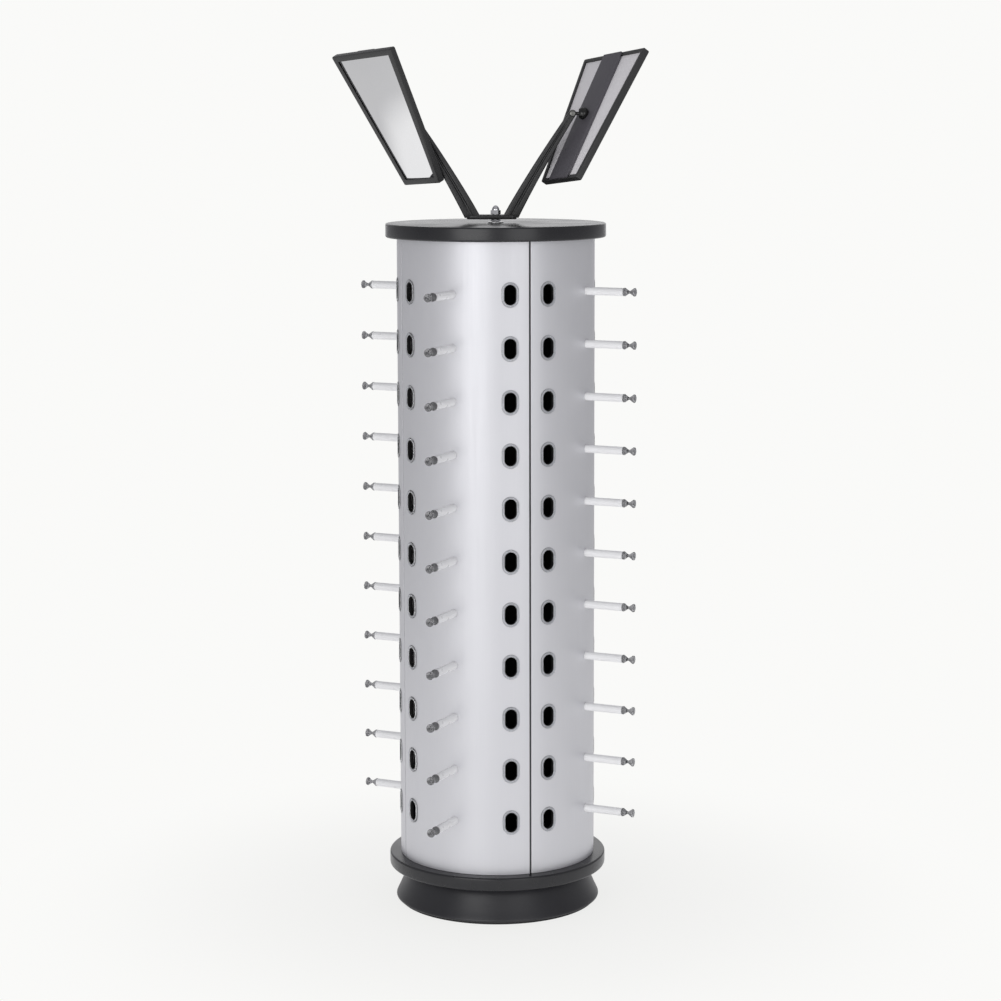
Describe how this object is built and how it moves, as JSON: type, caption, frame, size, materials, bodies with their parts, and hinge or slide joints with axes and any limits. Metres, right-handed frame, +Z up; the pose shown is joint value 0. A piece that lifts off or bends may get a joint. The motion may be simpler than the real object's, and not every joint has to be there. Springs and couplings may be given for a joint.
{
  "type": "revolving eyewear display rack",
  "caption": "Round countertop display column that revolves on a ball-bearing foot, with rows of holding pegs and oval temple holes, and two tilting mirrors on a V bracket.",
  "frame": {"origin": "middle of the underside of the foot's pad, on the turning axis", "axes": "+Z up along the turning axis; +X to the right and -Y towards a viewer who faces the left mirror's glass"},
  "size_m": [0.3631, 0.3168, 0.993],
  "materials": {
    "pad_rubber": "matt foam",
    "black_plastic": "satin moulded",
    "frame_plastic": "satin moulded",
    "strap_plastic": "matt moulded",
    "seam_plastic": "matt extruded",
    "mirror_glass": "silvered glass",
    "backing": "grey backing board",
    "steel": "zinc plated",
    "bright_metal": "chrome plated",
    "panel_aluminium": "satin anodised",
    "clear_plastic": "clear moulded"
  },
  "bodies": {
    "base": {"base_pad": "pad_rubber", "base_shell": "black_plastic", "bearing_lower_ring": "steel", "lower_ring_screw_1": "steel", "lower_ring_screw_2": "steel", "lower_ring_screw_3": "steel", "lower_ring_screw_4": "steel"},
    "ball_cage": {"bearing_cage": "steel", "bearing_ball_1": "steel", "bearing_ball_2": "steel", "bearing_ball_3": "steel", "bearing_ball_4": "steel", "bearing_ball_5": "steel", "bearing_ball_6": "steel"},
    "column": {"bearing_upper_ring": "steel", "upper_ring_screw_1": "steel", "upper_ring_screw_2": "steel", "upper_ring_screw_3": "steel", "upper_ring_screw_4": "steel", "lower_flange": "black_plastic", "tie_rod": "steel", "lower_nut": "bright_metal", "lower_washer": "bright_metal", "panel_1": "panel_aluminium", "panel_2": "panel_aluminium", "panel_3": "panel_aluminium", "panel_4": "panel_aluminium", "panel_joiner_1": "seam_plastic", "panel_joiner_2": "seam_plastic", "panel_joiner_3": "seam_plastic", "panel_joiner_4": "seam_plastic", "peg_strip_1": "clear_plastic", "peg_strip_2": "clear_plastic", "peg_strip_3": "clear_plastic", "peg_strip_4": "clear_plastic", "top_plate": "black_plastic", "upper_washer": "bright_metal", "upper_nut": "bright_metal", "cap_nut": "bright_metal"},
    "head": {"mirror_bracket": "black_plastic", "left_pivot_screw": "steel", "right_pivot_screw": "steel"},
    "left_knuckle": {"left_ball_knuckle": "black_plastic"},
    "right_knuckle": {"right_ball_knuckle": "black_plastic"},
    "left_mirror": {"left_mirror_frame": "frame_plastic", "left_mirror_glass": "mirror_glass", "left_backing_board": "backing", "left_back_strap": "strap_plastic", "left_ball_socket": "strap_plastic"},
    "right_mirror": {"right_mirror_frame": "frame_plastic", "right_mirror_glass": "mirror_glass", "right_backing_board": "backing", "right_back_strap": "strap_plastic", "right_ball_socket": "strap_plastic"}
  },
  "joints": [
    {"name": "column_spin", "type": "hinge", "parent": "base", "child": "column", "pos_m": [0, 0, 0.0388], "axis": [0, 0, 1], "continuous": true},
    {"name": "cage_spin", "type": "hinge", "parent": "base", "child": "ball_cage", "pos_m": [0, 0, 0.0388], "axis": [0, 0, 1], "continuous": true},
    {"name": "head_turn", "type": "hinge", "parent": "column", "child": "head", "pos_m": [0, 0, 0.801], "axis": [0, 0, 1], "continuous": true},
    {"name": "left_mirror_tilt", "type": "hinge", "parent": "head", "child": "left_knuckle", "pos_m": [-0.0971, 0, 0.918], "axis": [0, 1, 0], "range_deg": [0, 35]},
    {"name": "right_mirror_tilt", "type": "hinge", "parent": "head", "child": "right_knuckle", "pos_m": [0.0879, 0, 0.918], "axis": [0, -1, 0], "range_deg": [0, 35]},
    {"name": "left_mirror_swivel", "type": "hinge", "parent": "left_knuckle", "child": "left_mirror", "pos_m": [-0.1091, 0, 0.918], "axis": [0, 0, 1], "range_deg": [-20, 4]},
    {"name": "right_mirror_swivel", "type": "hinge", "parent": "right_knuckle", "child": "right_mirror", "pos_m": [0.0999, 0, 0.918], "axis": [0, 0, 1], "range_deg": [-20, 4]}
  ],
  "couplings": [
    {"joint": "cage_spin", "follows": "column_spin", "ratio": 0.5}
  ]
}
